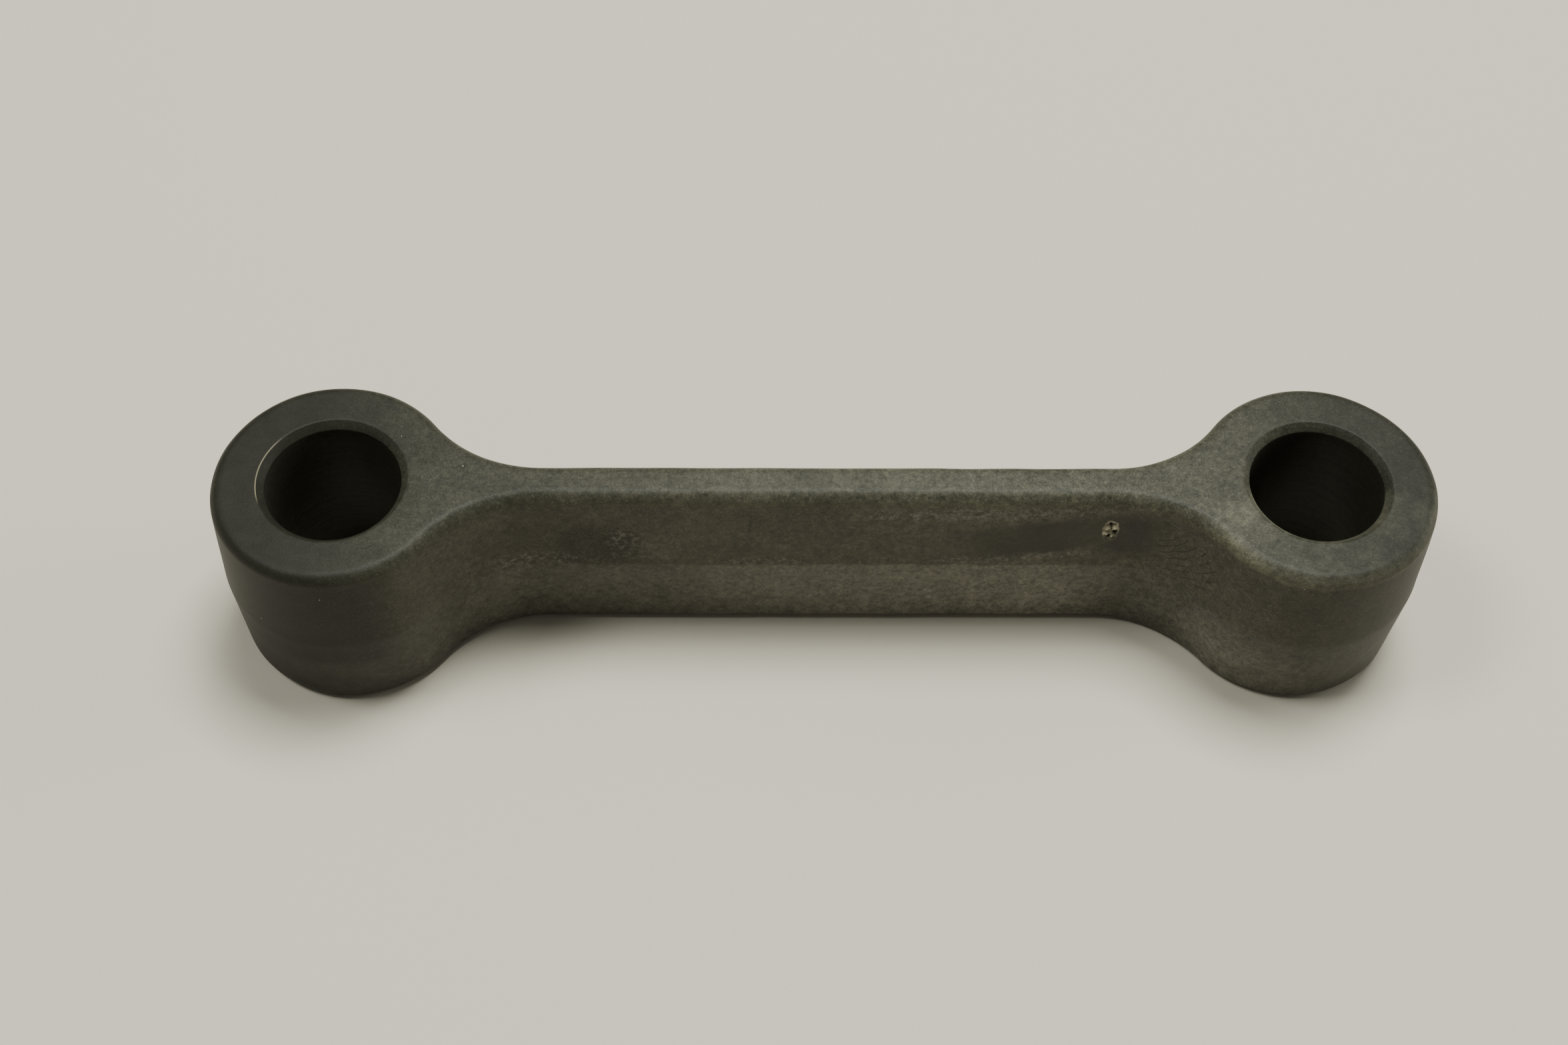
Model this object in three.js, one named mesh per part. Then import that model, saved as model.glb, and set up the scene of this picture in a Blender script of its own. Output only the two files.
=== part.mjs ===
// Two-pin connecting rod, moulded in one piece from fibre-filled plastic.
//
// Two equal round bosses stand at the ends of a narrow, deep web. Each boss has a through bore for
// the pin of a neighbouring part, with a lead-in chamfer at both mouths. Four concave necks blend
// the web into the bosses. The side wall is widest at the parting line, at half height, and drafts
// inwards from there to both faces, where every outer edge is rounded.
//
// Frame, in millimetres: +X runs from one bore to the other, +Z runs along the bores, and the
// origin lies on the bottom face, midway between the bores.

import * as THREE from 'three';

// Driving dimensions.
const CENTRE_DISTANCE = 92.5; // between the two bore axes
const HEIGHT = 21.0; // along the bores, the same over the bosses and the web
const BORE_DIAMETER = 12.7; // for a half inch pin
const BORE_CHAMFER = 0.7; // at 45 degrees, at both mouths of each bore
const BOSS_DIAMETER = 23.8; // at the parting line
const WEB_THICKNESS = 5.0; // at the parting line
const NECK_RADIUS = 12.5; // concave blend from web to boss, at the parting line
const EDGE_RADIUS = 1.2; // round on the outer edges of both faces
const DRAFT = THREE.MathUtils.degToRad(2.5); // of the side wall, each way from the parting line

// Flat sides that stand for each round stretch.
const BOSS_DIVISIONS = 44;
const NECK_DIVISIONS = 8;
const BORE_DIVISIONS = 48;
const EDGE_DIVISIONS = 4;

const PLASTIC = new THREE.MeshStandardMaterial({
  color: 0x4b4b41,
  roughness: 0.62,
  metalness: 0.0,
});

const bossCentre = CENTRE_DISTANCE / 2;
const partingHeight = HEIGHT / 2;

// Centre of the neck arc in the quarter where x and y are positive. The arc touches the straight
// side of the web and the round side of the boss. Every level of the side wall shares this centre.
const neckY = WEB_THICKNESS / 2 + NECK_RADIUS;
const neckX = bossCentre - Math.sqrt((BOSS_DIAMETER / 2 + NECK_RADIUS) ** 2 - neckY ** 2);

// Direction from the boss centre in which the boss meets that neck, turned from the +X axis.
const meetingAngle = Math.atan2(neckY, neckX - bossCentre);

// The flat faces: how far their outline lies inside the one at the parting line, and its radii.
const faceInset = wallInset(0);
const faceBossRadius = BOSS_DIAMETER / 2 - faceInset;
const faceNeckRadius = NECK_RADIUS + faceInset;
const mouthRadius = BORE_DIAMETER / 2 + BORE_CHAMFER;

/**
 * How far the side wall lies inside the outline at the parting line.
 * @param {number} depth distance below the nearer face
 * @returns {number} the inset by draft and edge round together
 */
function wallInset(depth) {
  const drafted = (partingHeight - depth) * Math.tan(DRAFT);
  const intoRound = Math.max(EDGE_RADIUS - depth, 0);
  const rounded = EDGE_RADIUS - Math.sqrt(EDGE_RADIUS ** 2 - intoRound ** 2);
  return drafted + rounded;
}

/**
 * How far the bore wall lies outside the plain bore.
 * @param {number} depth distance below the nearer face
 * @returns {number} the width of the chamfer at that depth
 */
function boreInset(depth) {
  return Math.max(BORE_CHAMFER - depth, 0);
}

/**
 * Points along an arc of a circle, both ends included.
 * @param {number} x centre of the circle
 * @param {number} y centre of the circle
 * @param {number} radius of the circle
 * @param {number} start angle of the first point from the +X axis
 * @param {number} end angle of the last point
 * @param {boolean} clockwise which way round the arc runs
 * @param {number} divisions number of flat sides
 * @returns {THREE.Vector2[]} the points in order
 */
function arcPoints(x, y, radius, start, end, clockwise, divisions) {
  return new THREE.EllipseCurve(x, y, radius, radius, start, end, clockwise).getPoints(divisions);
}

/**
 * The flat face: its rounded outline, and the mouths of the two bores as holes.
 * @returns {THREE.Shape} the face, drawn anticlockwise
 */
function faceShape() {
  const towardsBoss = Math.PI - meetingAngle;
  const quarter = Math.PI / 2;
  const lowerNeck = arcPoints(
    neckX, -neckY, faceNeckRadius, quarter, towardsBoss, true, NECK_DIVISIONS,
  );
  const boss = arcPoints(
    bossCentre, 0, faceBossRadius, -meetingAngle, meetingAngle, false, BOSS_DIVISIONS,
  );
  const upperNeck = arcPoints(
    neckX, neckY, faceNeckRadius, -towardsBoss, -quarter, true, NECK_DIVISIONS,
  );
  const rightEnd = [...lowerNeck, ...boss.slice(1, -1), ...upperNeck];
  const leftEnd = rightEnd.map((point) => point.clone().negate());
  const face = new THREE.Shape([...rightEnd, ...leftEnd]);
  for (const x of [-bossCentre, bossCentre]) {
    const mouth = arcPoints(x, 0, mouthRadius, 0, 2 * Math.PI, false, BORE_DIVISIONS);
    face.holes.push(new THREE.Path(mouth.slice(1)));
  }
  return face;
}

/**
 * Depths of the levels between a face and the parting line.
 * @returns {number[]} depths below the face, from 0 down to the end of the edge round
 */
function levelDepths() {
  const depths = [BORE_CHAMFER];
  for (let i = 0; i <= EDGE_DIVISIONS; i += 1) {
    const angle = (i / EDGE_DIVISIONS) * (Math.PI / 2);
    depths.push(EDGE_RADIUS * (1 - Math.cos(angle)));
  }
  return depths.sort((a, b) => a - b);
}

/**
 * Moves a point on the outline of the flat face to where the wall stands at another depth.
 * @param {THREE.Vector2} point a point on the face's outline or on a bore's mouth
 * @param {number} depth distance below the nearer face
 * @returns {THREE.Vector2} the point on the wall
 */
function wallPoint(point, depth) {
  const corner = new THREE.Vector2(Math.abs(point.x), Math.abs(point.y));
  const fromBoss = corner.clone().sub(new THREE.Vector2(bossCentre, 0));
  const outwards = new THREE.Vector2(0, 1);
  let growth = faceInset - wallInset(depth);
  if (fromBoss.length() < (mouthRadius + faceBossRadius) / 2) {
    outwards.copy(fromBoss).normalize().negate();
    growth = BORE_CHAMFER - boreInset(depth);
  } else if (fromBoss.angle() < meetingAngle) {
    outwards.copy(fromBoss).normalize();
  } else if (corner.x > neckX) {
    outwards.set(neckX, neckY).sub(corner).normalize();
  }
  corner.addScaledVector(outwards, growth);
  return new THREE.Vector2(Math.sign(point.x) * corner.x, Math.sign(point.y) * corner.y);
}

/**
 * The moulding: the flat face is extruded in as many steps as the wall has levels, and every step
 * is then set to its own height and its own outline.
 * @returns {THREE.BufferGeometry} one closed body
 */
function bodyGeometry() {
  const depths = levelDepths();
  const heights = [
    ...depths,
    partingHeight,
    ...depths.toReversed().map((depth) => HEIGHT - depth),
  ];
  const steps = heights.length - 1;
  const geometry = new THREE.ExtrudeGeometry(faceShape(), {
    depth: steps,
    steps,
    bevelEnabled: false,
  });
  const position = geometry.getAttribute('position');
  for (let i = 0; i < position.count; i += 1) {
    const height = heights[Math.round(position.getZ(i))];
    const depth = Math.min(height, HEIGHT - height);
    const point = wallPoint(new THREE.Vector2(position.getX(i), position.getY(i)), depth);
    position.setXYZ(i, point.x, point.y, height);
  }
  geometry.computeVertexNormals();
  return geometry;
}

const body = new THREE.Mesh(bodyGeometry(), PLASTIC);
body.name = 'rod_body';

const connectingRod = new THREE.Group();
connectingRod.add(body);

export default connectingRod;
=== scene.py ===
"""Looks of a two-pin connecting rod, moulded in one piece from fibre-filled plastic.

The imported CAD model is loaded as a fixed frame. A finely rounded moulding with its parting ridge,
gate scar and flow marks stands for the CAD solid, in metres and in the same place.
"""

import logging
import math
from dataclasses import dataclass
from enum import Enum
from typing import Any, Iterable

import bmesh
import bpy
from mathutils import Matrix, Vector, noise

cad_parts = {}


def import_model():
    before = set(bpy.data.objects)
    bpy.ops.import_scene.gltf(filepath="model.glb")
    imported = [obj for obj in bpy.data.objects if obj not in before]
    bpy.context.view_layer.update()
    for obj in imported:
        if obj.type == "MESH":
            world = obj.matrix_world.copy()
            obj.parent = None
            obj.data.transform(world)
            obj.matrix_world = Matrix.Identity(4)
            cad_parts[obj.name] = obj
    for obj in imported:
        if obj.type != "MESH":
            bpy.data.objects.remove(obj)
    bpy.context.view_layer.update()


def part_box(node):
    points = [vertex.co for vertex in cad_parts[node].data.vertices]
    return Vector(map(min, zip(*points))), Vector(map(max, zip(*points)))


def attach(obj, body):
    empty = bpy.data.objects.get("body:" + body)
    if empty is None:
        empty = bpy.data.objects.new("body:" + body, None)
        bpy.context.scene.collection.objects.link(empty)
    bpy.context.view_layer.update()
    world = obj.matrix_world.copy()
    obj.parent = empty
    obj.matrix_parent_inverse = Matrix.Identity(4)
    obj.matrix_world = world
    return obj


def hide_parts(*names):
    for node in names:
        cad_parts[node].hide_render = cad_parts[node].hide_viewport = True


LOG = logging.getLogger("connecting_rod")
MM = 0.001
TINY = 1e-4  # millimetres, for telling places apart and for merging doubles
CAD_NODE = "rod_body"
RELIEF = "relief"  # attribute: how far the torn gate stands out, from 0 (pit) to 1 (lump)
SCAR = "scar"  # attribute: 1 on the torn gate, 0 on sound skin


class Finish(Enum):
    """The finishes of the moulding, as indices of its material slots."""

    SKIN = 0
    BORE = 1


def linear(hex_colour: str) -> tuple[float, float, float, float]:
    """Turns an sRGB hex colour into linear red, green, blue and alpha.

    Args:
        hex_colour: six hex digits, with or without a leading hash.

    Returns:
        The linear colour, with an alpha of 1.
    """
    digits = hex_colour.lstrip("#")
    channels = [int(digits[i : i + 2], 16) / 255 for i in (0, 2, 4)]
    red, green, blue = [
        c / 12.92 if c <= 0.04045 else ((c + 0.055) / 1.055) ** 2.4 for c in channels
    ]
    return red, green, blue, 1.0


def add_node(
    tree: bpy.types.NodeTree,
    kind: str,
    settings: dict[Any, Any] | None = None,
    links: dict[Any, Any] | None = None,
) -> bpy.types.Node:
    """Adds a shader node with its settings and its links.

    Args:
        tree: the node tree that the node goes into.
        kind: the node's type name, without the leading ShaderNode.
        settings: node properties by name, or input values by socket name or number.
        links: source sockets by the name or number of the input that they feed.

    Returns:
        The new node.
    """
    node = tree.nodes.new("ShaderNode" + kind)
    for key, value in (settings or {}).items():
        if isinstance(key, str) and hasattr(node, key):
            setattr(node, key, value)
        else:
            node.inputs[key].default_value = value
    for key, source in (links or {}).items():
        tree.links.new(source, node.inputs[key])
    return node


def new_tree(name: str) -> tuple[bpy.types.Material, bpy.types.NodeTree, bpy.types.NodeSocket]:
    """Starts a material with an empty node tree that reads the piece's own coordinates.

    Args:
        name: the material's name.

    Returns:
        The material, its tree, and a socket with the place on the piece in millimetres.
    """
    material = bpy.data.materials.new(name)
    material.use_nodes = True
    tree = material.node_tree
    tree.nodes.clear()
    place = add_node(tree, "TexCoord")
    scaled = add_node(
        tree, "Mapping", {"Scale": (1 / MM, 1 / MM, 1 / MM)}, {"Vector": place.outputs["Object"]}
    )
    return material, tree, scaled.outputs["Vector"]


def product(
    tree: bpy.types.NodeTree, factors: list[bpy.types.NodeSocket | float]
) -> bpy.types.NodeSocket:
    """Multiplies numbers together.

    Args:
        tree: the node tree.
        factors: sockets or plain numbers, of which the first is a socket.

    Returns:
        The socket with the product.
    """
    total = factors[0]
    for factor in factors[1:]:
        constant = isinstance(factor, (int, float))
        total = add_node(
            tree, "Math", {"operation": "MULTIPLY", **({1: factor} if constant else {})},
            {0: total, **({} if constant else {1: factor})},
        ).outputs[0]
    return total


@dataclass(frozen=True)
class SoftBox:
    """A stretch of the part with soft edges, in millimetres, where a mark or a tone lies.

    With a slope it climbs towards the right, and its z limits hold at its left end.
    """

    x: tuple[float, float] | None = None
    y: tuple[float, float] | None = None
    z: tuple[float, float] | None = None
    soft: tuple[float, float, float] = (1.0, 1.0, 1.0)
    slope: float = 0.0

    def mask(
        self, tree: bpy.types.NodeTree, place: bpy.types.NodeSocket
    ) -> bpy.types.NodeSocket:
        """Builds the mask, 1 well inside the box and 0 well outside.

        Args:
            tree: the node tree.
            place: the place on the part, in millimetres.

        Returns:
            The mask's socket.
        """
        split = add_node(tree, "SeparateXYZ", {}, {0: place})
        values = list(split.outputs)
        if self.slope:
            climb = add_node(
                tree, "Math",
                {"operation": "MULTIPLY_ADD", 1: -self.slope, 2: self.slope * self.x[0]},
                {0: values[0]},
            ).outputs[0]
            values[2] = add_node(
                tree, "Math", {"operation": "ADD"}, {0: values[2], 1: climb}
            ).outputs[0]
        sides = []
        for axis, (limits, soft) in enumerate(zip((self.x, self.y, self.z), self.soft)):
            if limits is None:
                continue
            for limit, inwards in zip(limits, (1, -1)):
                sides.append(add_node(
                    tree, "MapRange",
                    {
                        "interpolation_type": "SMOOTHSTEP",
                        "From Min": limit - inwards * soft / 2,
                        "From Max": limit + inwards * soft / 2,
                    },
                    {"Value": values[axis]},
                ).outputs[0])
        return product(tree, sides)


@dataclass(frozen=True)
class Mark:
    """A stretch of the skin that is darker (gain below 1) or paler than the rest: most were left so
    by the moulding, and some are painted light and shade.
    """

    gain: float
    where: SoftBox
    ragged_mm: float = 0.0


@dataclass(frozen=True)
class FlowLines:
    """Thin dark lines beside the gate, where the front of the melt curled as it slowed down.

    They are rings about one centre, and only those inside the soft box show.
    """

    centre: tuple[float, float] = (30.4, 18.6)
    spacing_mm: float = 0.78
    line_mm: float = 0.17
    darkest: float = 0.45
    ragged_mm: float = 0.16
    break_mm: float = 2.2  # size of the stretches where the lines are whole or broken
    where: SoftBox = SoftBox(
        x=(31.6, 36.6), y=(-9.0, 0.0), z=(11.8, 17.4), soft=(1.4, 1.0, 1.0)
    )


@dataclass(frozen=True)
class TornPlastic:
    """The same plastic where the gate was torn off: pale, dry fibre ends round dark pits. Its tone
    follows the relief, so the pits carry painted shade and the lumps painted highlights.
    """

    pit_shade: str = "#1d1b15"
    torn: str = "#6f6a58"
    crest_and_highlight: str = "#c6c0a8"
    speckle_mm: float = 0.17
    speckle_swing: float = 0.6  # how far the speckle moves the shade, from pit towards crest

    def lay_over(
        self,
        tree: bpy.types.NodeTree,
        place: bpy.types.NodeSocket,
        ground: bpy.types.NodeSocket,
    ) -> bpy.types.NodeSocket:
        """Lays the torn colour over the skin's where the scar is.

        Args:
            tree: the node tree.
            place: the place on the part, in millimetres.
            ground: the skin's colour.

        Returns:
            The colour of both.
        """
        relief = add_node(tree, "Attribute", {"attribute_name": RELIEF}).outputs["Fac"]
        scar = add_node(tree, "Attribute", {"attribute_name": SCAR}).outputs["Fac"]
        speckle = add_node(
            tree, "TexNoise",
            {"Scale": 1 / self.speckle_mm, "Detail": 3.0, "Roughness": 0.7}, {"Vector": place},
        ).outputs["Fac"]
        shade = add_node(
            tree, "Math",
            {"operation": "MULTIPLY_ADD", 1: self.speckle_swing, 2: -self.speckle_swing / 2},
            {0: speckle},
        ).outputs[0]
        level = add_node(tree, "Math", {"operation": "ADD"}, {0: relief, 1: shade}).outputs[0]
        ramp_node = add_node(tree, "ValToRGB", {}, {"Fac": level})
        ramp = ramp_node.color_ramp
        ramp.elements.new(0.5)
        # Painted shade in the pits and painted highlights on the lumps, round the torn fibre's own
        # tone.
        for element, place_on_ramp, colour in zip(
            ramp.elements, (0.15, 0.5, 0.9), (self.pit_shade, self.torn, self.crest_and_highlight)
        ):
            element.position = place_on_ramp
            element.color = linear(colour)
        return add_node(
            tree, "Mix", {"data_type": "RGBA"},
            {0: scar, 6: ground, 7: ramp_node.outputs["Color"]},
        ).outputs[2]


@dataclass(frozen=True)
class BurrAndGlint:
    """The thin pale lip that the reamer left round part of one bore's mouth, its paleness partly its
    own and partly a painted highlight where the edge catches the light.
    """

    # Pale lip colour with a painted highlight in it.
    colour: str = "#807b62"
    centre_x: float = -46.25
    radius: float = 7.07
    width_mm: float = 0.1
    where: SoftBox = SoftBox(
        x=(-53.8, -51.3), y=(-2.2, 4.4), z=(20.6, 21.5), soft=(0.6, 1.4, 0.3)
    )

    def lay_over(
        self,
        tree: bpy.types.NodeTree,
        place: bpy.types.NodeSocket,
        ground: bpy.types.NodeSocket,
    ) -> bpy.types.NodeSocket:
        """Lays the lip's colour over the skin's.

        Args:
            tree: the node tree.
            place: the place on the part, in millimetres.
            ground: the skin's colour.

        Returns:
            The colour of both.
        """
        split = add_node(tree, "SeparateXYZ", {}, {0: place})
        along = add_node(
            tree, "Math", {"operation": "SUBTRACT", 1: self.centre_x}, {0: split.outputs["X"]}
        ).outputs[0]
        flat = add_node(tree, "CombineXYZ", {}, {0: along, 1: split.outputs["Y"]}).outputs[0]
        reach = add_node(
            tree, "VectorMath", {"operation": "LENGTH"}, {0: flat}
        ).outputs["Value"]
        near = add_node(
            tree, "Math", {"operation": "COMPARE", 1: self.radius, 2: self.width_mm / 2},
            {0: reach},
        ).outputs[0]
        return add_node(
            tree, "Mix", {"data_type": "RGBA", 7: linear(self.colour)},
            {0: product(tree, [near, self.where.mask(tree, place)]), 6: ground},
        ).outputs[2]


@dataclass(frozen=True)
class FibreFilledPlastic:
    """Plastic filled with short glass fibre, as it left the mould.

    The fibres near the surface read as a pale, tangled mottle in a dark olive-grey resin, and they
    make the surface matt. Where the melt ran fast beside the gate the skin is rich in resin, so it
    is darker, smoother and without mottle. IOR 1.5 is typical of such resins. The rough, open skin
    sends back less of a clear reflection than a polished one, so the specular level was fitted
    well below the usual 0.5.
    """

    name: str = "glass_filled_nylon_as_moulded"
    resin: str = "#444437"
    wall_resin: str = "#434137"
    low_resin: str = "#43423b"
    fleck: str = "#8b8a78"
    cluster: str = "#868680"
    sparkle: str = "#d8d6c8"
    ior: float = 1.5
    specular: float = 0.19
    roughness: float = 0.5
    cloud_mm: float = 13.0
    patch_mm: float = 2.4
    tangle_mm: float = 0.6
    grain_mm: float = 0.2
    sparkle_mm: float = 2.7
    bump_mm: float = 0.03
    wander_mm: float = 2.5  # size of the wander that makes the edges of marks ragged
    wander_gain: float = 4.0  # the noise's whole range spans this many times a mark's ragged_mm
    tangle_swing: float = 0.46  # how far the coarse mottle darkens and lightens the skin
    grain_swing: float = 0.2  # the same for the fine one
    smooth_gain: float = 0.38  # tone of the resin-rich skin beside the rest
    smooth_gloss: float = 0.12  # by which it is less rough
    cluster_ragged_mm: float = 0.35
    point_reach: tuple[float, float] = (0.012, 0.028)  # core and rim of a sparkle, in cells
    point_strength: float = 0.7
    # Tone along the rod, paler on the web than at the ends, as fitted. Part is fibre at the surface,
    # and part is painted light: the sheen that peaks over the web, and light the studio doesn't have.
    along: tuple[tuple[float, float], ...] = (
        (-58.0, 0.42), (-48.0, 0.44), (-39.0, 0.8), (-30.0, 1.0), (-10.0, 1.14),
        (15.0, 1.34), (28.0, 1.25), (37.0, 1.12), (45.0, 0.67), (58.0, 0.45),
    )
    # How strong the mottle is, from 0 to 1, along the rod.
    tangled: tuple[tuple[float, float], ...] = (
        (-58.0, 0.1), (-46.0, 0.15), (-39.0, 0.75), (-15.0, 0.75), (0.0, 0.7), (15.0, 0.95),
        (37.0, 1.0), (46.0, 0.45), (58.0, 0.45),
    )
    marks: tuple[Mark, ...] = (
        # The paler lower half of the web, as if that half of the mould was the rougher one.
        Mark(1.2, SoftBox(x=(-31.0, 27.0), z=(-1.0, 10.45), soft=(8.0, 1.0, 0.3)), 0.2),
        Mark(1.35, SoftBox(
            x=(-12.0, 27.0), y=(-9.0, 0.0), z=(-1.0, 10.45), soft=(9.0, 1.0, 0.3)), 0.2),
        # Broad tones of the walls and bosses, fitted in the same way. They are painted light and
        # shade:
        # the pale floor's glow on the lower walls and lower right boss, shade on the near side of the
        # left boss, and light on the near side of the left neck.
        Mark(1.22, SoftBox(z=(-1.0, 9.0), soft=(1.0, 1.0, 9.0))),
        Mark(1.75, SoftBox(x=(36.0, 60.0), z=(-1.0, 8.0), soft=(6.0, 1.0, 7.0))),
        Mark(0.5, SoftBox(x=(-60.0, -41.0), y=(-15.0, 0.0), z=(7.0, 19.8), soft=(5.0, 5.0, 2.5))),
        Mark(1.25, SoftBox(x=(-39.5, -30.0), y=(-15.0, 0.0), z=(1.0, 19.5), soft=(4.0, 4.0, 2.0))),
        # The top of the web, paler than its sides where light glances off it: painted sheen.
        Mark(1.1, SoftBox(x=(-12.0, 40.0), z=(19.9, 22.0), soft=(16.0, 1.0, 0.8))),
        # The line that the two halves of the mould left, painted paler: a painted highlight where its
        # ridge catches the light.
        Mark(1.14, SoftBox(x=(-31.0, 26.0), z=(10.42, 10.58), soft=(6.0, 1.0, 0.12))),
        # A painted highlight along the near rounded edge of the right boss.
        Mark(2.1, SoftBox(
            x=(36.0, 62.0), y=(-15.0, -1.0), z=(19.65, 20.85), soft=(4.0, 2.0, 0.6)), 0.25),
        # Pale streaks that slant up to the gate from the parting line.
        Mark(1.3, SoftBox(
            x=(17.0, 27.0), y=(-9.0, 0.0), z=(10.3, 11.0), soft=(3.0, 1.0, 0.8), slope=0.35), 0.3),
        # Pale fibre just above that line, and above the smooth skin.
        Mark(1.2, SoftBox(
            x=(2.0, 25.0), y=(-9.0, 0.0), z=(17.5, 20.2), soft=(12.0, 1.0, 1.0)), 0.7),
        Mark(1.3, SoftBox(
            x=(27.0, 31.5), y=(-9.0, 0.0), z=(18.9, 20.4), soft=(2.0, 1.0, 1.0)), 0.7),
        # Patches on the web's near side, one dark and one pale.
        Mark(0.62, SoftBox(
            x=(-25.5, -17.5), y=(-9.0, 0.0), z=(10.6, 16.0), soft=(3.0, 1.0, 2.5)), 1.2),
        Mark(0.84, SoftBox(
            x=(-34.0, -18.0), y=(-9.0, 0.0), z=(11.0, 17.0), soft=(5.0, 1.0, 3.0)), 1.6),
        Mark(1.15, SoftBox(
            x=(-19.0, -14.0), y=(-9.0, 0.0), z=(11.0, 15.8), soft=(2.0, 1.0, 2.0)), 1.6),
        # A short crescent where the flow met itself.
        Mark(0.62, SoftBox(
            x=(-7.3, -6.95), y=(-9.0, 0.0), z=(15.4, 18.0), soft=(0.3, 1.0, 1.4)), 0.22),
    )
    # Where pale fibre ends cluster on the near side of the web.
    flecked: tuple[SoftBox, ...] = (
        SoftBox(x=(-9.0, -1.5), y=(-9.0, 0.0), z=(10.7, 11.5), soft=(3.0, 1.0, 0.5)),
        SoftBox(x=(11.0, 26.0), y=(-9.0, 0.0), z=(10.6, 11.5), soft=(5.0, 1.0, 0.8), slope=0.1),
        SoftBox(x=(4.0, 26.0), y=(-9.0, 0.0), z=(17.4, 18.8), soft=(8.0, 1.0, 0.9), slope=0.03),
        SoftBox(x=(-20.6, -17.2), y=(-9.0, 0.0), z=(12.0, 16.0), soft=(1.8, 1.0, 2.4)),
        SoftBox(x=(-32.0, -23.0), y=(-9.0, 0.0), z=(10.6, 12.4), soft=(6.0, 1.0, 2.0)),
    )
    flow_lines: FlowLines = FlowLines()
    torn: TornPlastic = TornPlastic()
    burr_and_glint: BurrAndGlint = BurrAndGlint()

    def build(self) -> bpy.types.Material:
        """Builds the material.

        Returns:
            The finished material.
        """
        material, tree, place = new_tree(self.name)
        smooth = self.smooth_skin(tree, place)
        fibrous = self.gain(tree, smooth, (0.0, 1.0), (1.0, 0.2))
        strength = product(tree, [self.curve(tree, place, self.tangled), fibrous])
        tangle = self.noise(tree, place, self.tangle_mm, 4.0, 0.68, 0.35)
        grain = self.noise(tree, place, self.grain_mm, 2.0, 0.6, 0.0)
        patch = self.noise(tree, place, self.patch_mm, 3.0, 0.6, 0.3)
        cloud = self.noise(tree, place, self.cloud_mm, 3.0, 0.5, 0.0)
        gains = [
            self.curve(tree, place, self.along),
            self.gain(tree, cloud, (0.3, 0.7), (0.88, 1.12)),
            self.gain(tree, patch, (0.3, 0.7), (0.83, 1.17)),
            self.gain(tree, grain, (0.3, 0.7), (0.92, 1.08)),
            self.mottle_gain(tree, tangle, self.tangle_swing, strength),
            self.mottle_gain(tree, grain, self.grain_swing, strength),
            self.gain(tree, smooth, (0.0, 1.0), (1.0, self.smooth_gain)),
            self.flow_line_gain(tree, place),
        ]
        for mark in self.marks:
            mask = mark.where.mask(tree, self.ragged(tree, place, mark.ragged_mm))
            gains.append(self.gain(tree, mask, (0.0, 1.0), (1.0, mark.gain)))
        wall = SoftBox(z=(-5.0, 19.6), soft=(1.0, 1.0, 1.2)).mask(tree, place)
        tint = add_node(
            tree, "Mix",
            {"data_type": "RGBA", 6: linear(self.resin), 7: linear(self.wall_resin)}, {0: wall},
        ).outputs[2]
        lower = SoftBox(z=(-5.0, 10.45), soft=(1.0, 1.0, 0.3)).mask(tree, place)
        tint = add_node(
            tree, "Mix", {"data_type": "RGBA", 7: linear(self.low_resin)}, {0: lower, 6: tint}
        ).outputs[2]
        ground = add_node(
            tree, "VectorMath", {"operation": "SCALE"}, {0: tint, "Scale": product(tree, gains)}
        ).outputs[0]
        flecks = self.gain(tree, grain, (0.6, 0.8), (0.0, 0.35))
        colour = add_node(
            tree, "Mix", {"data_type": "RGBA", 7: linear(self.fleck)},
            {0: product(tree, [flecks, strength]), 6: ground},
        ).outputs[2]
        clusters = product(tree, [
            self.gain(tree, tangle, (0.46, 0.62), (0.0, 0.5)),
            self.gain(tree, grain, (0.4, 0.62), (0.15, 1.0)),
        ])
        for cluster_box in self.flecked:
            mask = cluster_box.mask(tree, self.ragged(tree, place, self.cluster_ragged_mm))
            colour = add_node(
                tree, "Mix", {"data_type": "RGBA", 7: linear(self.cluster)},
                {0: product(tree, [clusters, mask]), 6: colour},
            ).outputs[2]
        colour = add_node(
            tree, "Mix", {"data_type": "RGBA", 7: linear(self.sparkle)},
            {0: self.sparkles(tree, place), 6: colour},
        ).outputs[2]
        colour = self.torn.lay_over(tree, place, self.burr_and_glint.lay_over(tree, place, colour))
        roughness = self.gain(
            tree, smooth, (0.0, 1.0), (self.roughness, self.roughness - self.smooth_gloss)
        )
        height = add_node(
            tree, "Math", {"operation": "MULTIPLY_ADD"}, {0: tangle, 1: strength, 2: grain}
        ).outputs[0]
        bump = add_node(
            tree, "Bump", {"Strength": 0.7, "Distance": self.bump_mm * MM}, {"Height": height}
        ).outputs["Normal"]
        shader = add_node(
            tree, "BsdfPrincipled",
            {"IOR": self.ior, "Specular IOR Level": self.specular},
            {"Base Color": colour, "Roughness": roughness, "Normal": bump},
        )
        add_node(tree, "OutputMaterial", {}, {"Surface": shader.outputs["BSDF"]})
        return material

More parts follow.
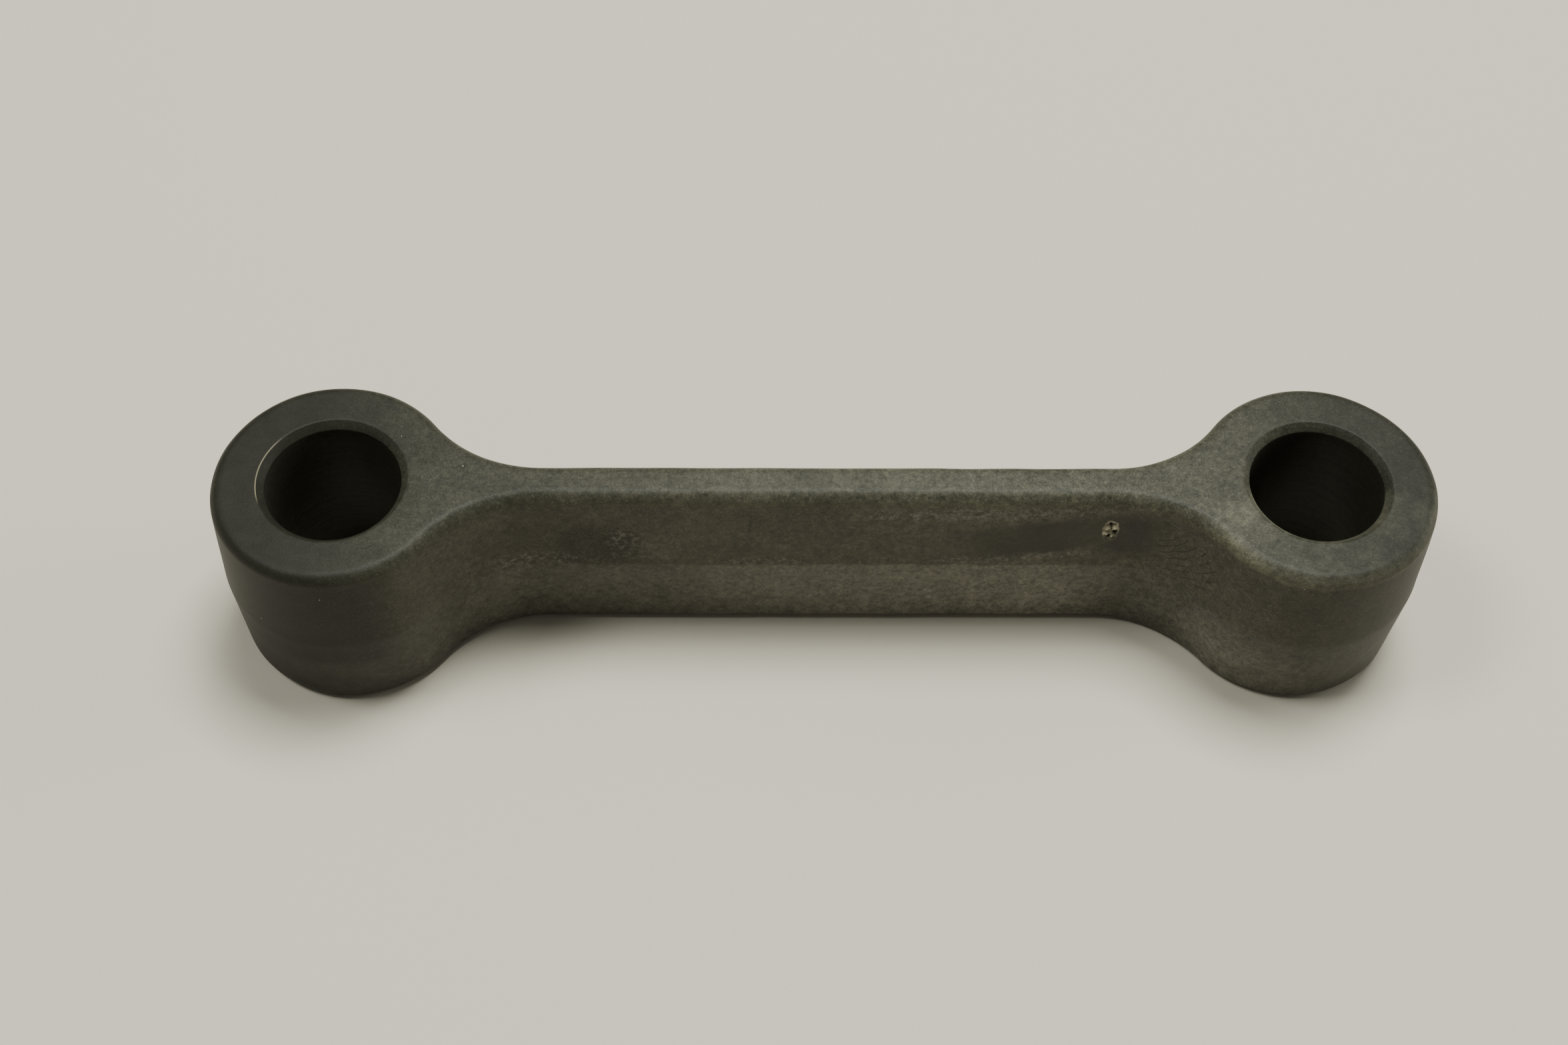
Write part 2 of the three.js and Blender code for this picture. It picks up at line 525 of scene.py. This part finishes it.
    def curve(
        self,
        tree: bpy.types.NodeTree,
        place: bpy.types.NodeSocket,
        points: tuple[tuple[float, float], ...],
    ) -> bpy.types.NodeSocket:
        """Builds a value that follows given points along the rod.

        Args:
            tree: the node tree.
            place: the place on the part, in millimetres.
            points: pairs of x and value, the values up to 2.

        Returns:
            The value's socket.
        """
        along = add_node(tree, "SeparateXYZ", {}, {0: place}).outputs["X"]
        start, end = points[0][0], points[-1][0]
        fraction = add_node(
            tree, "MapRange", {"From Min": start, "From Max": end}, {"Value": along}
        ).outputs[0]
        ramp_node = add_node(tree, "ValToRGB", {}, {"Fac": fraction})
        ramp = ramp_node.color_ramp
        ramp.interpolation = "B_SPLINE"
        for x, _ in points[1:-1]:
            ramp.elements.new((x - start) / (end - start))
        for element, (_, value) in zip(ramp.elements, points):
            element.color = (value / 2, value / 2, value / 2, 1)
        return product(tree, [ramp_node.outputs["Color"], 2.0])

    def noise(
        self,
        tree: bpy.types.NodeTree,
        place: bpy.types.NodeSocket,
        size_mm: float,
        detail: float,
        roughness: float,
        distortion: float,
    ) -> bpy.types.NodeSocket:
        """Builds an even random pattern.

        Args:
            tree: the node tree.
            place: the place on the part, in millimetres.
            size_mm: the size of its largest patches.
            detail: how many finer layers lie on them.
            roughness: how strong the finer layers are.
            distortion: how much the patches curl.

        Returns:
            The pattern's socket, about 0.5 on the whole.
        """
        return add_node(
            tree, "TexNoise",
            {
                "Scale": 1 / size_mm, "Detail": detail, "Roughness": roughness,
                "Distortion": distortion,
            },
            {"Vector": place},
        ).outputs["Fac"]

    def gain(
        self,
        tree: bpy.types.NodeTree,
        value: bpy.types.NodeSocket,
        limits: tuple[float, float],
        gains: tuple[float, float],
    ) -> bpy.types.NodeSocket:
        """Turns a pattern or mask into a gain.

        Args:
            tree: the node tree.
            value: the pattern or mask.
            limits: the values between which the gain changes.
            gains: the gain at each of them.

        Returns:
            The gain's socket.
        """
        return add_node(
            tree, "MapRange",
            {
                "From Min": limits[0], "From Max": limits[1],
                "To Min": gains[0], "To Max": gains[1],
            },
            {"Value": value},
        ).outputs[0]

    def ragged(
        self, tree: bpy.types.NodeTree, place: bpy.types.NodeSocket, amount_mm: float
    ) -> bpy.types.NodeSocket:
        """Shifts the place about, so that the edge of a mark becomes ragged.

        Args:
            tree: the node tree.
            place: the place on the part, in millimetres.
            amount_mm: about how far the place is shifted.

        Returns:
            The shifted place.
        """
        if not amount_mm:
            return place
        wander = add_node(
            tree, "TexNoise", {"Scale": 1 / self.wander_mm, "Detail": 4.0, "Roughness": 0.65},
            {"Vector": place},
        ).outputs["Color"]
        centred = add_node(
            tree, "VectorMath", {"operation": "SUBTRACT", 1: (0.5, 0.5, 0.5)}, {0: wander}
        ).outputs[0]
        reach = self.wander_gain * amount_mm
        return add_node(
            tree, "VectorMath",
            {"operation": "MULTIPLY_ADD", 1: (reach, reach, reach)},
            {0: centred, 2: place},
        ).outputs[0]

    def mottle_gain(
        self,
        tree: bpy.types.NodeTree,
        pattern: bpy.types.NodeSocket,
        swing: float,
        strength: bpy.types.NodeSocket,
    ) -> bpy.types.NodeSocket:
        """Builds the gain of a mottle, which fades out where its strength is 0.

        Args:
            tree: the node tree.
            pattern: the mottle's pattern.
            swing: how far the gain goes from 1, both ways.
            strength: how strong the mottle is.

        Returns:
            The gain's socket.
        """
        swings = self.gain(tree, pattern, (0.3, 0.7), (-swing, swing))
        return add_node(
            tree, "Math", {"operation": "MULTIPLY_ADD", 2: 1.0}, {0: swings, 1: strength}
        ).outputs[0]

    def smooth_skin(
        self, tree: bpy.types.NodeTree, place: bpy.types.NodeSocket
    ) -> bpy.types.NodeSocket:
        """Builds the mask of the resin-rich skin that runs back along the web from the gate.

        Args:
            tree: the node tree.
            place: the place on the part, in millimetres.

        Returns:
            The mask's socket.
        """
        ragged = self.ragged(tree, place, 0.7)
        wedge = SoftBox(
            x=(13.5, 28.0), y=(-9.0, 0.0), z=(11.1, 15.9), soft=(15.0, 1.0, 1.2), slope=0.17
        )
        halo = SoftBox(x=(25.6, 31.5), y=(-9.0, 0.0), z=(12.6, 18.3), soft=(4.0, 1.0, 2.6))
        return add_node(
            tree, "Math", {"operation": "MAXIMUM"},
            {0: wedge.mask(tree, ragged), 1: halo.mask(tree, ragged)},
        ).outputs[0]

    def flow_line_gain(
        self, tree: bpy.types.NodeTree, place: bpy.types.NodeSocket
    ) -> bpy.types.NodeSocket:
        """Builds the gain of the thin curled lines beside the gate.

        Args:
            tree: the node tree.
            place: the place on the part, in millimetres.

        Returns:
            The gain's socket.
        """
        lines = self.flow_lines
        wavy = self.ragged(tree, place, lines.ragged_mm)
        split = add_node(tree, "SeparateXYZ", {}, {0: wavy})
        across, up = [
            add_node(
                tree, "Math", {"operation": "SUBTRACT", 1: middle}, {0: split.outputs[axis]}
            ).outputs[0]
            for axis, middle in zip("XZ", lines.centre)
        ]
        flat = add_node(tree, "CombineXYZ", {}, {0: across, 1: up}).outputs[0]
        reach = add_node(
            tree, "VectorMath", {"operation": "LENGTH"}, {0: flat}
        ).outputs["Value"]
        ring = add_node(
            tree, "Math", {"operation": "PINGPONG", 1: lines.spacing_mm / 2}, {0: reach}
        ).outputs[0]
        thin = self.gain(tree, ring, (lines.line_mm / 4, lines.line_mm / 2), (1.0, 0.0))
        broken = self.gain(
            tree, self.noise(tree, place, lines.break_mm, 1.0, 0.5, 0.0), (0.34, 0.46), (0.0, 1.0)
        )
        mask = product(tree, [thin, broken, lines.where.mask(tree, place)])
        return self.gain(tree, mask, (0.0, 1.0), (1.0, lines.darkest))

    def sparkles(
        self, tree: bpy.types.NodeTree, place: bpy.types.NodeSocket
    ) -> bpy.types.NodeSocket:
        """Builds the mask of tiny bright points, the cut ends of fibres: their own pale glass, with
        painted glints.

        Args:
            tree: the node tree.
            place: the place on the part, in millimetres.

        Returns:
            The mask's socket.
        """
        cells = add_node(
            tree, "TexVoronoi", {"Scale": 1 / self.sparkle_mm}, {"Vector": place}
        )
        return self.gain(
            tree, cells.outputs["Distance"], self.point_reach, (self.point_strength, 0.0)
        )


@dataclass(frozen=True)
class ReamedPlastic:
    """The same plastic where a reamer sized the bores, with faint rings round them. It is coloured
    darker than the skin: painted shade, as little light gets into the bores.
    """

    name: str = "glass_filled_nylon_reamed"
    # A darker resin than the skin's: painted shade inside the bores.
    resin: str = "#38372d"
    ior: float = 1.5
    specular: float = 0.18
    roughness: float = 0.45
    ring_mm: float = 0.35
    around: float = 0.08  # noise cells a millimetre across the bore, so the rings run nearly round
    speckle_mm: float = 1 / 2.2
    swing: float = 0.18
    bump_mm: float = 0.008

    def build(self) -> bpy.types.Material:
        """Builds the material.

        Returns:
            The finished material.
        """
        material, tree, place = new_tree(self.name)
        flattened = add_node(
            tree, "Mapping", {"Scale": (self.around, self.around, 1 / self.ring_mm)},
            {"Vector": place},
        ).outputs[0]
        rings = add_node(
            tree, "TexNoise", {"Scale": 1.0, "Detail": 3.0, "Roughness": 0.6},
            {"Vector": flattened},
        ).outputs["Fac"]
        speckle = add_node(
            tree, "TexNoise", {"Scale": 1 / self.speckle_mm, "Detail": 4.0, "Roughness": 0.65},
            {"Vector": place},
        ).outputs["Fac"]
        shades = [
            add_node(
                tree, "MapRange",
                {
                    "From Min": 0.3, "From Max": 0.7,
                    "To Min": 1 - self.swing, "To Max": 1 + self.swing,
                },
                {"Value": pattern},
            ).outputs[0]
            for pattern in (rings, speckle)
        ]
        colour = add_node(
            tree, "VectorMath", {"operation": "SCALE", 0: linear(self.resin)[:3]},
            {"Scale": product(tree, shades)},
        ).outputs[0]
        bump = add_node(
            tree, "Bump", {"Strength": 0.5, "Distance": self.bump_mm * MM}, {"Height": rings}
        ).outputs["Normal"]
        shader = add_node(
            tree, "BsdfPrincipled",
            {"IOR": self.ior, "Specular IOR Level": self.specular, "Roughness": self.roughness},
            {"Base Color": colour, "Normal": bump},
        )
        add_node(tree, "OutputMaterial", {}, {"Surface": shader.outputs["BSDF"]})
        return material


@dataclass(frozen=True)
class PaleBoard:
    """Smooth painted board: matt, off-white, with no pattern of its own to draw the eye."""

    name: str = "painted_board"
    colour: str = "#e6e1ca"
    roughness: float = 0.8

    def build(self) -> bpy.types.Material:
        """Builds the material.

        Returns:
            The finished material.
        """
        material, tree, _ = new_tree(self.name)
        shader = add_node(
            tree, "BsdfPrincipled",
            {"Base Color": linear(self.colour), "Roughness": self.roughness},
        )
        add_node(tree, "OutputMaterial", {}, {"Surface": shader.outputs["BSDF"]})
        return material


@dataclass(frozen=True)
class Knot:
    """A lump (height above 0) or pit on the torn gate, placed from the gate's middle."""

    right: float
    up: float
    size: float
    height: float


@dataclass
class GateMark:
    """The upright oval scar on the near side of the web, where the gate was torn off.

    Lengths are in millimetres. The scar is taller than it is wide, as if the gate came up to the
    wall at a slant from the parting line. The depths of its lumps and pits are guesses.
    """

    x: float = 27.08
    z: float = 16.0
    half_width: float = 0.8
    half_height: float = 1.68
    patch: tuple[float, float] = (1.7, 2.6)
    cuts: int = 12
    ripple: float = 0.05
    ragged: float = 0.12  # of the outline, as a share of its size
    rim: float = 0.05  # height of the lip round the scar
    spread: float = 0.3  # from the deepest colour to the palest
    dull_below: float = 0.5  # below the middle by this much, the scar gets duller
    dulling: float = 0.16
    knots: tuple[Knot, ...] = (
        Knot(-0.02, 1.05, 0.16, -0.18), Knot(0.04, 0.7, 0.07, -0.14), Knot(0.06, 0.4, 0.07, -0.14),
        Knot(0.45, -0.12, 0.17, -0.24), Knot(-0.08, -0.72, 0.13, -0.2),
        Knot(0.36, 0.55, 0.26, 0.15), Knot(-0.35, 0.45, 0.24, 0.12), Knot(-0.55, -0.25, 0.2, 0.1),
        Knot(0.18, -0.72, 0.16, 0.14), Knot(-0.3, -0.4, 0.16, 0.1), Knot(0.1, 1.38, 0.16, 0.1),
    )

    def reach(self, place: Vector) -> float:
        """How far out a place lies, 1 being the scar's ragged outline."""
        right = (place.x - self.x) / self.half_width
        up = (place.z - self.z) / self.half_height
        return math.hypot(right, up) + self.ragged * noise.noise(place * 2.3)

    def relief(self, place: Vector) -> float:
        """How far the scar stands out at a place.

        Args:
            place: a place on the wall.

        Returns:
            The height in millimetres, below 0 in a pit.
        """
        reach = self.reach(place)
        inside = min(max((1.05 - reach) / 0.15, 0.0), 1.0)
        upper = 0.4 + 0.6 * (place.z > self.z)
        lip = self.rim * math.exp(-(((reach - 0.95) / 0.12) ** 2)) * upper
        height = self.ripple * noise.turbulence(place * 2.6, 3, False) - self.ripple / 2
        for knot in self.knots:
            right = place.x - self.x - knot.right
            up = (place.z - self.z - knot.up) * 0.75
            height += knot.height * math.exp(-((math.hypot(right, up) / knot.size) ** 2))
        return inside * height + lip

    def tear(self, bm: bmesh.types.BMesh) -> None:
        """Refines the wall round the scar, and pushes it into shape.

        Args:
            bm: the moulding, in millimetres.
        """
        def near(face: bmesh.types.BMFace) -> bool:
            middle = face.calc_center_median()
            return (
                middle.y < 0
                and abs(middle.x - self.x) < self.patch[0]
                and abs(middle.z - self.z) < self.patch[1]
            )

        edges = list(dict.fromkeys(edge for face in bm.faces if near(face) for edge in face.edges))
        bmesh.ops.subdivide_edges(bm, edges=edges, cuts=self.cuts, use_grid_fill=True)
        relief = bm.verts.layers.float.new(RELIEF)
        scar = bm.verts.layers.float.new(SCAR)
        wall = dict.fromkeys(vert for face in bm.faces if near(face) for vert in face.verts)
        for vert in wall:
            height = self.relief(vert.co)
            dull = min(max((self.z - self.dull_below - vert.co.z) / self.dull_below, 0.0), 1.0)
            vert[relief] = 0.5 + height / self.spread - self.dulling * dull
            vert[scar] = min(max((1.08 - self.reach(vert.co)) / 0.2, 0.0), 1.0)
            vert.co.y -= height


@dataclass
class Moulding:
    """The one-piece rod. Its lengths are in millimetres, and the main ones are the CAD part's.

    An eighth of the skin is swept from one wall profile and mirrored three times. While it is
    modelled, the origin is the middle of the part, and z = 0 is the parting line.
    """

    name: str = "rod_moulding"
    bore_diameter: float = 12.7
    bore_chamfer: float = 0.7
    web_thickness: float = 5.0
    neck_radius: float = 12.5
    edge_radius: float = 1.2
    draft: float = math.radians(2.5)
    ridge_height: float = 0.012  # of the soft ridge that the parting line left
    ridge_width: float = 1.0
    mouth_round: float = 0.09
    support: float = 0.2  # how far a flat face stays flat beside its rounded edge
    sink: float = 0.03  # deepest sink of a side wall
    edge_sink: float = 0.07  # more of it near the rounded edges
    sink_spacing: float = 4.5
    full_lean: float = 0.3  # the skin sinks in full where 1 - |normal z| is at least this
    ridge_reach: float = 1.5  # from the parting line, over which the sink fades in
    edge_steps: int = 10
    wall_steps: int = 12
    boss_steps: int = 72
    neck_steps: int = 26
    web_steps: int = 40
    bore_steps: int = 20
    throat_steps: int = 6  # down the bore wall, from the chamfer to the middle
    length: float = 0.0
    width: float = 0.0
    height: float = 0.0

    def __post_init__(self) -> None:
        """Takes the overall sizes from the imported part."""
        low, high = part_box(CAD_NODE)
        size = (high - low) / MM
        self.length, self.width, self.height = size.x, size.y, size.z

    @property
    def boss_x(self) -> float:
        """X of the right bore's axis."""
        return (self.length - self.width) / 2

    @property
    def wall_radius(self) -> float:
        """Radius of the boss's plain wall at the parting line, under the ridge."""
        return self.width / 2 - self.ridge_height

    @property
    def half_web(self) -> float:
        """Half the web's thickness at the parting line, under the ridge."""
        return self.web_thickness / 2 - self.ridge_height

    @property
    def neck_centre(self) -> Vector:
        """Centre of the concave neck in the quarter where x and y are positive."""
        radius = self.neck_radius + self.ridge_height
        y = self.half_web + radius
        x = self.boss_x - math.sqrt((self.wall_radius + radius) ** 2 - y**2)
        return Vector((x, y, 0.0))

    @property
    def meeting_angle(self) -> float:
        """Direction from the boss's centre in which its wall meets the neck."""
        centre = self.neck_centre
        return math.atan2(centre.y, centre.x - self.boss_x)

    @property
    def face_inset(self) -> float:
        """How far the flat face's edge lies inside the wall at the parting line."""
        edge = self.edge_radius
        drafted = self.height / 2 - edge + edge * math.sin(self.draft)
        return edge * math.cos(self.draft) + drafted * math.tan(self.draft)

    def outer_profile(self, bm: bmesh.types.BMesh) -> None:
        """Draws the wall from the flat face's edge down to the parting line, at the rod's tip.

        Args:
            bm: the mesh that the chain of edges is drawn in.
        """
        top = self.height / 2
        face_x = self.boss_x + self.wall_radius - self.face_inset
        support = bm.verts.new((face_x - self.support, 0, top))
        chain = [support, *extend(bm, support, [Vector((face_x, 0, top))])]
        turned = bmesh.ops.spin(
            bm, geom=[chain[-1]], cent=(face_x, 0, top - self.edge_radius), axis=(0, 1, 0),
            angle=math.pi / 2 - self.draft, steps=self.edge_steps,
        )
        end = next(v for v in turned["geom_last"] if isinstance(v, bmesh.types.BMVert))
        half_ridge = self.ridge_width / 2
        foot = Vector((self.boss_x + self.wall_radius, 0, half_ridge))
        start = end.co.copy()
        wall = [start.lerp(foot, (i + 1) / self.wall_steps) for i in range(self.wall_steps)]
        proud = Vector((foot.x + self.ridge_height, 0, half_ridge / 2))
        extend(bm, end, [*wall, proud, Vector((proud.x, 0, 0))])

    def inner_profile(self, bm: bmesh.types.BMesh, x: float) -> None:
        """Draws the bore wall and the chamfer up to the bore's mouth.

        Args:
            bm: the mesh that the chain of edges is drawn in.
            x: where the bore wall stands, on the X axis.
        """
        outwards = math.copysign(1.0, x - self.boss_x)
        top = self.height / 2
        foot = bm.verts.new((x, 0, 0))
        throat = Vector((x, 0, top - self.bore_chamfer))
        steps = self.throat_steps
        wall = [foot.co.lerp(throat, (i + 1) / steps) for i in range(steps)]
        mouth = Vector((x + outwards * self.bore_chamfer, 0, top))
        inset = Vector((outwards * self.support, 0, 0))
        chain = extend(bm, foot, [*wall, mouth, mouth + inset])
        bmesh.ops.bevel(
            bm, geom=chain[steps - 1 : steps + 1], offset=self.mouth_round, segments=3, profile=0.5,
            affect="VERTICES", material=-1,
        )

    def shell(self) -> bmesh.types.BMesh:
        """Sweeps, mirrors and closes the whole skin.

        Returns:
            The closed mesh, in millimetres, standing on z = 0.
        """
        bm = bmesh.new()
        self.inner_profile(bm, self.boss_x + self.bore_diameter / 2)
        self.outer_profile(bm)
        ends = [v for v in bm.verts if len(v.link_edges) == 1 and v.co.z > TINY]
        bmesh.ops.contextual_create(bm, geom=ends)
        axis = (self.boss_x, 0, 0)
        boss = sweep(bm, chain_of(bm, bm.verts), axis, self.meeting_angle, self.boss_steps)
        keep = [v for v in boss if isinstance(v, bmesh.types.BMVert)]
        reach = self.bore_diameter / 2 + self.bore_chamfer + self.support + self.mouth_round
        wall = [v for v in keep if (v.co.xy - Vector(axis).xy).length > reach]
        bore = [v for v in keep if v not in wall]
        neck = sweep(
            bm, chain_of(bm, wall), self.neck_centre,
            math.pi / 2 - self.meeting_angle, self.neck_steps,
        )
        middle = (-self.neck_centre.x / self.web_steps, 0, 0)
        sweep(bm, neck, (0, 0, 0), 0.0, self.web_steps, middle)
        sweep(bm, chain_of(bm, bore), axis, math.pi - self.meeting_angle, self.bore_steps)
        for direction in "XYZ":
            bmesh.ops.mirror(
                bm, geom=[*bm.verts, *bm.edges, *bm.faces], matrix=Matrix.Identity(4),
                merge_dist=TINY, axis=direction,
            )
        bmesh.ops.remove_doubles(bm, verts=bm.verts, dist=TINY)
        bmesh.ops.holes_fill(bm, edges=[e for e in bm.edges if e.is_boundary], sides=0)
        bmesh.ops.recalc_face_normals(bm, faces=bm.faces)
        return bm

    def settle(self, bm: bmesh.types.BMesh) -> None:
        """Lets the side walls and their rounded edges sink in a little, unevenly, as they cooled.

        Args:
            bm: the moulding, in millimetres, standing on z = 0.
        """
        bm.normal_update()
        bore_reach = self.bore_diameter / 2 + self.bore_chamfer + 2 * self.support
        moves = {}
        for vert in bm.verts:
            from_bore = (vert.co.xy - Vector((math.copysign(self.boss_x, vert.co.x), 0))).length
            level = min(vert.co.z, self.height - vert.co.z)
            if from_bore < bore_reach or level < TINY:
                continue
            lean = min((1 - abs(vert.normal.z)) / self.full_lean, 1.0)
            uneven = 0.5 + 0.5 * noise.noise(vert.co / self.sink_spacing)
            edge = math.exp(-((level / (2 * self.edge_radius)) ** 2))
            away = min(abs(vert.co.z - self.height / 2) / self.ridge_reach, 1.0)
            depth = self.sink * away + self.edge_sink * edge
            moves[vert] = -vert.normal * uneven * lean * depth
        for vert, move in moves.items():
            vert.co += move

    def build(self, finishes: list[bpy.types.Material]) -> bpy.types.Object:
        """Builds the piece and dresses it.

        Args:
            finishes: the materials, in the order of the Finish choices.

        Returns:
            The finished object.
        """
        bm = self.shell()
        LOG.info("shell: %d faces, open edges %d", len(bm.faces), count_open(bm))
        bmesh.ops.translate(bm, verts=bm.verts, vec=(0, 0, self.height / 2))
        self.settle(bm)
        GateMark().tear(bm)
        for face in bm.faces:
            face.smooth = True
            middle = face.calc_center_median()
            boss = Vector((math.copysign(self.boss_x, middle.x), 0))
            in_bore = (middle.xy - boss).length < self.bore_diameter / 2 + TINY
            face.material_index = (Finish.BORE if in_bore else Finish.SKIN).value
        return finish_piece(bm, self.name, finishes)


def extend(
    bm: bmesh.types.BMesh, start: bmesh.types.BMVert, places: Iterable[Vector]
) -> list[bmesh.types.BMVert]:
    """Draws edges on from a vertex, through the places given.

    Args:
        bm: the mesh that the edges go into.
        start: the vertex that the chain goes on from.
        places: where the new vertices go.

    Returns:
        The new vertices in order.
    """
    added = []
    for place in places:
        result = bmesh.ops.extrude_vert_indiv(bm, verts=[start])
        start = result["verts"][0]
        start.co = place
        added.append(start)
    return added


def chain_of(bm: bmesh.types.BMesh, verts: Iterable[bmesh.types.BMVert]) -> list[Any]:
    """The vertices given, in their order, with every edge that joins two of them.

    Args:
        bm: the mesh that they are in.
        verts: the vertices.

    Returns:
        The vertices and edges.
    """
    ordered = list(verts)
    chosen = set(ordered)
    return [*ordered, *(e for e in bm.edges if set(e.verts) <= chosen)]


def sweep(
    bm: bmesh.types.BMesh,
    geom: list[Any],
    centre: Iterable[float],
    angle: float,
    steps: int,
    shift: Iterable[float] = (0, 0, 0),
) -> list[Any]:
    """Turns or pushes a chain of edges about an upright axis, and leaves a skin behind it.

    Args:
        bm: the mesh that holds the chain.
        geom: the chain's vertices and edges.
        centre: a point on the axis.
        angle: the whole turn.
        steps: the number of strips.
        shift: how far each step is pushed along.

    Returns:
        The vertices and edges at the far end.
    """
    result = bmesh.ops.spin(
        bm, geom=geom, cent=centre, axis=(0, 0, 1), dvec=shift, angle=angle, steps=steps
    )
    return [item for item in result["geom_last"] if not isinstance(item, bmesh.types.BMFace)]


def count_open(bm: bmesh.types.BMesh) -> int:
    """The number of edges that don't join exactly two faces."""
    return sum(1 for e in bm.edges if len(e.link_faces) != 2)


def finish_piece(
    bm: bmesh.types.BMesh, name: str, finishes: list[bpy.types.Material]
) -> bpy.types.Object:
    """Makes an object in metres of a mesh in millimetres.

    Args:
        bm: the mesh, which is freed.
        name: the object's name.
        finishes: its materials.

    Returns:
        The object, linked to the scene.
    """
    bmesh.ops.scale(bm, vec=(MM, MM, MM), verts=bm.verts)
    mesh = bpy.data.meshes.new(name)
    bm.to_mesh(mesh)
    bm.free()
    for finish in finishes:
        mesh.materials.append(finish)
    piece = bpy.data.objects.new(name, mesh)
    bpy.context.scene.collection.objects.link(piece)
    return piece


@dataclass
class Stage:
    """A plain pale floor, wide enough to fill the view."""

    name: str = "floor"
    width_m: float = 6.0
    drop_mm: float = 0.02

    def build(self, finish: bpy.types.Material) -> bpy.types.Object:
        """Builds the floor just below the part.

        Args:
            finish: the floor's material.

        Returns:
            The floor.
        """
        bm = bmesh.new()
        bmesh.ops.create_grid(bm, x_segments=1, y_segments=1, size=self.width_m / 2 / MM)
        bmesh.ops.translate(bm, verts=bm.verts, vec=(0, 0, -self.drop_mm))
        floor = finish_piece(bm, self.name, [finish])
        return floor


@dataclass
class SoftLight:
    """One square soft light that faces the part.

    Its direction is given from straight above and round from the +X axis, in degrees, and its
    strength as the irradiance that it gives a surface that faces it, in watts a square metre.
    """

    name: str
    from_above: float
    bearing: float
    half_angle: float
    irradiance: float
    colour: str = "#ffffff"
    distance_m: float = 1.2

    def build(self) -> bpy.types.Object:
        """Builds the light.

        Returns:
            The light, aimed at the part.
        """
        lamp = bpy.data.lights.new(self.name, "AREA")
        lamp.shape = "SQUARE"
        lamp.size = 2 * self.distance_m * math.tan(math.radians(self.half_angle))
        lamp.energy = self.irradiance * math.pi * self.distance_m**2
        lamp.color = linear(self.colour)[:3]
        light = bpy.data.objects.new(self.name, lamp)
        tilt = Matrix.Rotation(math.radians(self.from_above), 3, "Y")
        turn = Matrix.Rotation(math.radians(self.bearing), 3, "Z")
        place = turn @ tilt @ Vector((0, 0, self.distance_m))
        light.location = place
        light.rotation_euler = (-place).to_track_quat("-Z", "Y").to_euler()
        bpy.context.scene.collection.objects.link(light)
        return light


@dataclass
class Studio:
    """Soft light from above and a little from each side, in a pale room."""

    room: str = "#f4f4f2"
    room_strength: float = 0.11

    def build(self) -> None:
        """Builds the lights and the room's glow."""
        lights = [
            SoftLight("ceiling_light", 15.0, 60.0, 10.0, 3.05, distance_m=0.8),
            SoftLight("left_light", 30.0, 178.0, 8.0, 1.0),
            SoftLight("right_light", 70.0, 12.0, 13.0, 0.75),
        ]
        for light in lights:
            light.build()
            LOG.info("light %s", light.name)
        world = bpy.data.worlds.new("pale_room")
        world.use_nodes = True
        background = world.node_tree.nodes["Background"]
        background.inputs["Color"].default_value = linear(self.room)
        background.inputs["Strength"].default_value = self.room_strength
        bpy.context.scene.world = world


@dataclass
class Viewpoint:
    """The camera: where it stands, what it looks at, and its slight lean."""

    place_mm: tuple[float, float, float] = (-8.29, -120.43, 188.05)
    aim_mm: tuple[float, float, float] = (-3.86, 2.48, 10.5)
    lean: float = math.radians(1.78)
    lens_mm: float = 50.5
    film_mm: float = 36.0

    def build(self) -> bpy.types.Object:
        """Builds the camera and makes it the scene's own.

        Returns:
            The camera.
        """
        data = bpy.data.cameras.new("camera")
        data.sensor_fit = "HORIZONTAL"
        data.sensor_width = self.film_mm
        data.lens = self.lens_mm
        data.clip_start = 0.01
        data.clip_end = 20.0
        camera = bpy.data.objects.new("camera", data)
        place = Vector(self.place_mm) * MM
        view = Vector(self.aim_mm) * MM - place
        turn = view.to_track_quat("-Z", "Y").to_matrix().to_4x4()
        camera.matrix_world = Matrix.Translation(place) @ turn @ Matrix.Rotation(self.lean, 4, "Z")
        bpy.context.scene.collection.objects.link(camera)
        bpy.context.scene.camera = camera
        return camera


def main() -> None:
    """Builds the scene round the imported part."""
    logging.basicConfig(level=logging.INFO, format="%(name)s: %(message)s")
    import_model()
    Viewpoint().build()
    Studio().build()
    Stage().build(PaleBoard().build())
    plastic = FibreFilledPlastic().build()
    moulding = Moulding().build([plastic, ReamedPlastic().build()])
    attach(moulding, "root")
    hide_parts(CAD_NODE)
    LOG.info("piece %s: %d faces", moulding.name, len(moulding.data.polygons))


if __name__ == "__main__":
    main()
